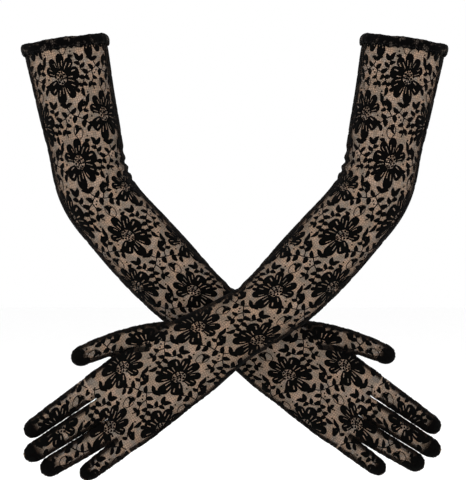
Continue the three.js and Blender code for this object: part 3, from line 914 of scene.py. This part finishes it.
def stitching():
    """Stitches of spun thread that close the fold of the hem: one stitch, copied round the ring."""
    reach = HEM_STITCH_LENGTH / 2
    deselect_all()
    bpy.ops.mesh.primitive_uv_sphere_add(segments=6, ring_count=6, radius=1, rotation=(math.pi / 2, 0, 0))
    stitch = bpy.context.object
    bpy.ops.object.transform_apply(location=False, rotation=True, scale=False)
    bpy.ops.object.mode_set(mode="EDIT")
    bpy.ops.transform.resize(value=(HEM_STITCH_HALF, reach, HEM_STITCH_HALF), center_override=(0, 0, 0))
    bpy.ops.object.mode_set(mode="OBJECT")
    one, quads = read_mesh(stitch)
    bpy.data.objects.remove(stitch)
    turns = 2 * math.pi * (np.arange(HEM_STITCHES)[:, None] + 0.5) / HEM_STITCHES
    angles = (turns + one[:, 1] / (MEAN_RADIUS + 1)).ravel()
    slanted = one[:, 2] + 0.25 * one[:, 1] / reach
    bowed = one[:, 0] - 0.35 * (one[:, 1] / reach) ** 2  # both ends go down into the lace
    down = HEM_HEIGHT - THREAD_INSET + HEM_DROP + np.tile(slanted, HEM_STITCHES)
    proud = HEM_PROUD + 0.5 + np.tile(bowed, HEM_STITCHES)
    faces = [tuple(v + len(one) * i for v in quad) for i in range(HEM_STITCHES) for quad in quads]
    marks = np.stack([angles * MEAN_RADIUS, np.tile(one[:, 2] * 3, HEM_STITCHES)], axis=1)
    return {"points": ring_points(angles, down, proud), "faces": faces, "uv": marks}


# ------------------------------------------------------------------ materials
def colour(code):
    """A hex colour in sRGB as linear red, green, blue and alpha."""
    parts = [int(code[i:i + 2], 16) / 255 for i in (1, 3, 5)]
    linear = [c / 12.92 if c <= 0.04045 else ((c + 0.055) / 1.055) ** 2.4 for c in parts]
    return (*linear, 1.0)


def add(tree, kind, values=None, links=None, **settings):
    """Adds a node with its settings, the values of its free sockets and the links to the others."""
    made = tree.nodes.new(kind)
    for name, value in settings.items():
        setattr(made, name, value)
    for socket, value in (values or {}).items():
        made.inputs[socket].default_value = value
    for socket, source in (links or {}).items():
        tree.links.new(source, made.inputs[socket])
    return made


def new_material(name):
    """An empty material and its node tree."""
    made = bpy.data.materials.new(name)
    made.use_nodes = True
    made.node_tree.nodes.clear()
    return made, made.node_tree


def surface(tree, values, links):
    """The shader that ends a material's tree."""
    shader = add(tree, "ShaderNodeBsdfPrincipled", values, links)
    add(tree, "ShaderNodeOutputMaterial", links={"Surface": shader.outputs["BSDF"]})


MAP_UNIT = 100  # mm of lace or thread to a unit of a piece's own map
MATT = {"Roughness": 0.85, "Specular IOR Level": 0.02}  # fine black fibres that swallow nearly all the light


def patches(tree, uv, size, low, high):
    """Soft patches of a size in mm, from 0 to 1 between two levels of a noise, and the noise itself."""
    noise = add(tree, "ShaderNodeTexNoise", {"Scale": MAP_UNIT / size, "Detail": 4, "Roughness": 0.6},
                {"Vector": uv.outputs["UV"]}, noise_dimensions="2D")
    shown = add(tree, "ShaderNodeMapRange", {"From Min": low, "From Max": high},
                {"Value": noise.outputs["Fac"]})
    return shown.outputs["Result"], noise.outputs["Fac"]


def stretched_nylon_net():
    # Knitted nylon net under tension: matt and sheer, a dark mesh over a warm film that is patchy where the
    # stretch is uneven.
    # Along the seams it carries a painted shade, nearly black, where the arm turns away, and it darkens towards
    # the fingertips.
    made, tree = new_material("stretched_nylon_net")
    uv = add(tree, "ShaderNodeUVMap", uv_map="lace_mm")
    # The real mesh is about 0.8 mm; drawn at 2.1 mm, so that its cells show.
    cells = add(tree, "ShaderNodeTexVoronoi", {"Scale": MAP_UNIT / 2.1, "Randomness": 0.55},
                {"Vector": uv.outputs["UV"]}, voronoi_dimensions="2D", feature="DISTANCE_TO_EDGE")
    thread = add(tree, "ShaderNodeMapRange", {"From Min": 0.03, "From Max": 0.2, "To Min": 1, "To Max": 0},
                 {"Value": cells.outputs["Distance"]})
    film = add(tree, "ShaderNodeMix", {"A": colour("#776B5F"), "B": colour("#A38670")},
               {"Factor": patches(tree, uv, 9, 0.36, 0.64)[0]}, data_type="RGBA")
    woven = add(tree, "ShaderNodeMix", {"B": colour("#52473D")},
                {"Factor": thread.outputs["Result"], "A": film.outputs["Result"]}, data_type="RGBA")
    # Painted shade along the seams, with the darkening towards the fingertips: the net turns near black and
    # more opaque there.
    edge_shade = add(tree, "ShaderNodeAttribute", attribute_name="painted_edge_shade_and_dark_tips")
    dark = add(tree, "ShaderNodeMix", {"B": colour("#040303")},
               {"Factor": edge_shade.outputs["Fac"], "A": woven.outputs["Result"]}, data_type="RGBA")
    cover = add(tree, "ShaderNodeMapRange", {"To Min": 0.72, "To Max": 0.97},
                {"Value": thread.outputs["Result"]})
    closed = add(tree, "ShaderNodeMath", {}, {0: cover.outputs["Result"], 1: edge_shade.outputs["Fac"]},
                 operation="MAXIMUM")
    bump = add(tree, "ShaderNodeBump", {"Strength": 0.35, "Distance": 0.0003},
               {"Height": thread.outputs["Result"]})
    surface(tree, MATT, {"Base Color": dark.outputs["Result"], "Alpha": closed.outputs["Value"],
                         "Normal": bump.outputs["Normal"]})
    return made


def thread_material(name, low, high, pitch, roughness, sheen, slant=0.0, strength=0.5):
    """Laid, twisted or braided thread: parallel strands at a pitch in mm, between two near colours, the lighter
    a painted sheen on the strands' raised tops.
    """
    made, tree = new_material(name)
    uv = add(tree, "ShaderNodeUVMap", uv_map="lace_mm")
    turned = add(tree, "ShaderNodeMapping", {"Rotation": (0, 0, slant)}, {"Vector": uv.outputs["UV"]})
    # A wave at scale 1 repeats every pi / 10 of a unit.
    strands = add(tree, "ShaderNodeTexWave", {"Scale": math.pi / 10 * MAP_UNIT / pitch, "Distortion": 1.2,
                                              "Detail": 2, "Detail Scale": 1.5},
                  {"Vector": turned.outputs["Vector"]}, wave_type="BANDS")
    fuzz = add(tree, "ShaderNodeTexNoise", {"Scale": MAP_UNIT / 1.6, "Detail": 4}, {"Vector": uv.outputs["UV"]})
    fuzzy = add(tree, "ShaderNodeMath", {}, {0: strands.outputs["Fac"], 1: fuzz.outputs["Fac"]},
                operation="MULTIPLY")
    # Painted sheen: the raised tops of the strands, where the bump is highest, take the lighter colour.
    tint = add(tree, "ShaderNodeMix", {"A": colour(low), "B": colour(high)},
               {"Factor": fuzzy.outputs["Value"]}, data_type="RGBA")
    bump = add(tree, "ShaderNodeBump", {"Strength": strength, "Distance": 0.0004},
               {"Height": fuzzy.outputs["Value"]})
    surface(tree, {**MATT, "Roughness": roughness, "Sheen Weight": sheen, "Sheen Roughness": 0.5},
            {"Base Color": tint.outputs["Result"], "Normal": bump.outputs["Normal"]})
    return made


def doubled_lace():
    # Two layers of the knitted lace, gathered: nearly black and matt, with paler flecks where net lies on net.
    made, tree = new_material("doubled_stretch_lace")
    uv = add(tree, "ShaderNodeUVMap", uv_map="lace_mm")
    paler, flecks = patches(tree, uv, 6.5, 0.56, 0.68)
    # The real mesh is about 0.8 mm; drawn at 1.7 mm, so that its holes show.
    cells = add(tree, "ShaderNodeTexVoronoi", {"Scale": MAP_UNIT / 1.7, "Randomness": 0.7},
                {"Vector": uv.outputs["UV"]}, voronoi_dimensions="2D", feature="DISTANCE_TO_EDGE")
    holes = add(tree, "ShaderNodeMapRange", {"From Min": 0.08, "From Max": 0.3},
                {"Value": cells.outputs["Distance"]})
    show = add(tree, "ShaderNodeMath", {}, {0: paler, 1: holes.outputs["Result"]}, operation="MULTIPLY")
    tint = add(tree, "ShaderNodeMix", {"A": colour("#020202"), "B": colour("#4A423B")},
               {"Factor": show.outputs["Value"]}, data_type="RGBA")
    bump = add(tree, "ShaderNodeBump", {"Strength": 0.6, "Distance": 0.0005}, {"Height": flecks})
    surface(tree, {**MATT, "Sheen Weight": 0.01}, {"Base Color": tint.outputs["Result"],
                                                   "Normal": bump.outputs["Normal"]})
    return made


def plain_paper():
    # Uncoated white paper: matt, with a grain too faint to see, so that the floor looks even and pale.
    made, tree = new_material("matt_white_paper")
    coords = add(tree, "ShaderNodeTexCoord")
    grain = add(tree, "ShaderNodeTexNoise", {"Scale": 60.0}, {"Vector": coords.outputs["Object"]})
    tint = add(tree, "ShaderNodeMix", {"A": colour("#FAFAFA"), "B": colour("#FFFFFF")},
               {"Factor": grain.outputs["Fac"]}, data_type="RGBA")
    surface(tree, {"Roughness": 0.95}, {"Base Color": tint.outputs["Result"]})
    return made


# ------------------------------------------------------------------ the pair
def finished(name, part, side, material, body, node):
    """One piece of one glove: worn shape, pattern coordinates, material and body; the CAD node that it stands
    for, if any, is hidden.
    """
    faces = part["faces"] if side > 0 else [tuple(reversed(face)) for face in part["faces"]]
    made = new_object(name, worn(part["points"], side), faces)
    mesh = made.data
    corners = np.empty(len(mesh.loops), int)
    mesh.loops.foreach_get("vertex_index", corners)
    layer = mesh.uv_layers.new(name="lace_mm")
    layer.data.foreach_set("uv", (part["uv"][corners] / MAP_UNIT).ravel())
    # The net panels carry their painted seam shade and darker fingertips as a point attribute.
    if "edge_shade_and_dark_tips" in part:
        edge_shade = mesh.attributes.new("painted_edge_shade_and_dark_tips", "FLOAT", "POINT")
        edge_shade.data.foreach_set("value", part["edge_shade_and_dark_tips"])
    mesh.polygons.foreach_set("use_smooth", [True] * len(mesh.polygons))
    mesh.materials.append(material)
    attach(made, body)
    if node:
        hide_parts(node)
    return made


NET = stretched_nylon_net()
# Soft filament yarn laid close: the deepest black on the glove, with hardly a shine along its strands, that
# shine painted as their faintly lighter tops. Its strands are about 0.3 mm; drawn at 0.9 mm, so that they show.
MOTIF = thread_material("laid_viscose_lace_yarn", "#010101", "#0A0908", 0.9, 0.85, 0.008, 0.6)
# Textured polyester thread looped over a cut edge: black, a little fuzzy, ridged across the seam.
OVERLOCK = thread_material("overlocked_polyester_thread", "#020202", "#0D0C0B", 0.75, 0.8, 0.01)
# Spun polyester thread: black, its twist giving short slanted glints, painted as lighter slanted strands.
SEWING = thread_material("spun_polyester_thread", "#060606", "#1A1817", 0.4, 0.65, 0.03, 0.7)
# Braided rubber and polyester: a shade greyer than the lace, with ribs across the band.
ELASTIC = thread_material("braided_rubber_elastic", "#0A0A0B", "#1E1E1F", 0.8, 0.75, 0.03, math.pi / 2)
DOUBLED = doubled_lace()

PARTS = {"back": net_panel(-1), "palm": net_panel(1), "back_lace": lace_on(-1), "palm_lace": lace_on(1),
         "hem": hem(), "elastic": elastic(), "stitching": stitching(), **seams()}

for glove, side in GLOVES.items():
    hem_piece = finished(glove + "_gathered_hem", PARTS["hem"], side, DOUBLED, glove, glove + "_cuff_hem")
    finished(glove + "_hem_elastic", PARTS["elastic"], side, ELASTIC, glove, glove + "_cuff_elastic")
    finished(glove + "_hem_stitches", PARTS["stitching"], side, SEWING, glove, glove + "_hem_stitching")
    for name in SEAM_NAMES:
        finished(glove + "_overlock_" + name, PARTS["seam_" + name], side, OVERLOCK, glove,
                 glove + "_seam_" + name)
    for panel in ("back", "palm"):
        lace = finished(glove + "_" + panel + "_lace_motifs", PARTS[panel + "_lace"], side, MOTIF, glove, None)
        net = finished(glove + "_" + panel + "_net", PARTS[panel], side, NET, glove,
                       glove + "_" + panel + "_panel")

# ------------------------------------------------------------------ camera, light and floor
# In metres. The camera looks straight at the back of the hands.
CAMERA_DISTANCE = 3.0
VIEW_HEIGHT = 0.4464  # what the picture takes in at the gloves
VIEW_CENTRE = (-0.0014, -0.187)

camera = bpy.data.cameras.new("camera")
camera.lens = camera.sensor_width * CAMERA_DISTANCE / VIEW_HEIGHT
viewer = bpy.data.objects.new("camera", camera)
viewer.location = (VIEW_CENTRE[0], -CAMERA_DISTANCE, VIEW_CENTRE[1])
viewer.rotation_euler = (math.radians(90), 0, 0)
bpy.context.collection.objects.link(viewer)
bpy.context.scene.camera = viewer


FLOOR_HALF, FLOOR_GAP = 9.0, 0.03  # its half width, and how far it lies under the gloves


def floor():
    """Plain white paper under the gloves, wide enough to look endless from every side."""
    level = CAD_BOX[0][2] - FLOOR_GAP
    corners = ((-1, -1), (1, -1), (1, 1), (-1, 1))
    paper = new_object("floor", [(x * FLOOR_HALF, y * FLOOR_HALF, level) for x, y in corners], [(0, 1, 2, 3)])
    paper.data.materials.append(plain_paper())


def softbox(name, place, target, size, power):
    light = bpy.data.lights.new(name, "AREA")
    light.shape = "DISK"
    light.size = size
    light.energy = power
    made = bpy.data.objects.new(name, light)
    made.location = place
    aim = np.array(target, float) - place
    made.rotation_euler = (math.acos(-aim[2] / np.linalg.norm(aim)), 0, math.atan2(aim[0], -aim[1]) + math.pi)
    bpy.context.collection.objects.link(made)


floor()
CENTRE = (0, 0, -0.2)
softbox("key_softbox", (-1.3, -2.2, 1.2), CENTRE, 1.6, 30)
softbox("fill_softbox", (1.7, -2.0, 0.4), CENTRE, 1.8, 16)
softbox("top_softbox", (0, 0.2, 2.2), CENTRE, 1.5, 12)

world = bpy.data.worlds.new("studio")
bpy.context.scene.world = world
world.use_nodes = True
world.node_tree.nodes["Background"].inputs["Color"].default_value = (1, 1, 1, 1)
world.node_tree.nodes["Background"].inputs["Strength"].default_value = 1.0
bpy.context.scene.view_settings.view_transform = "Standard"
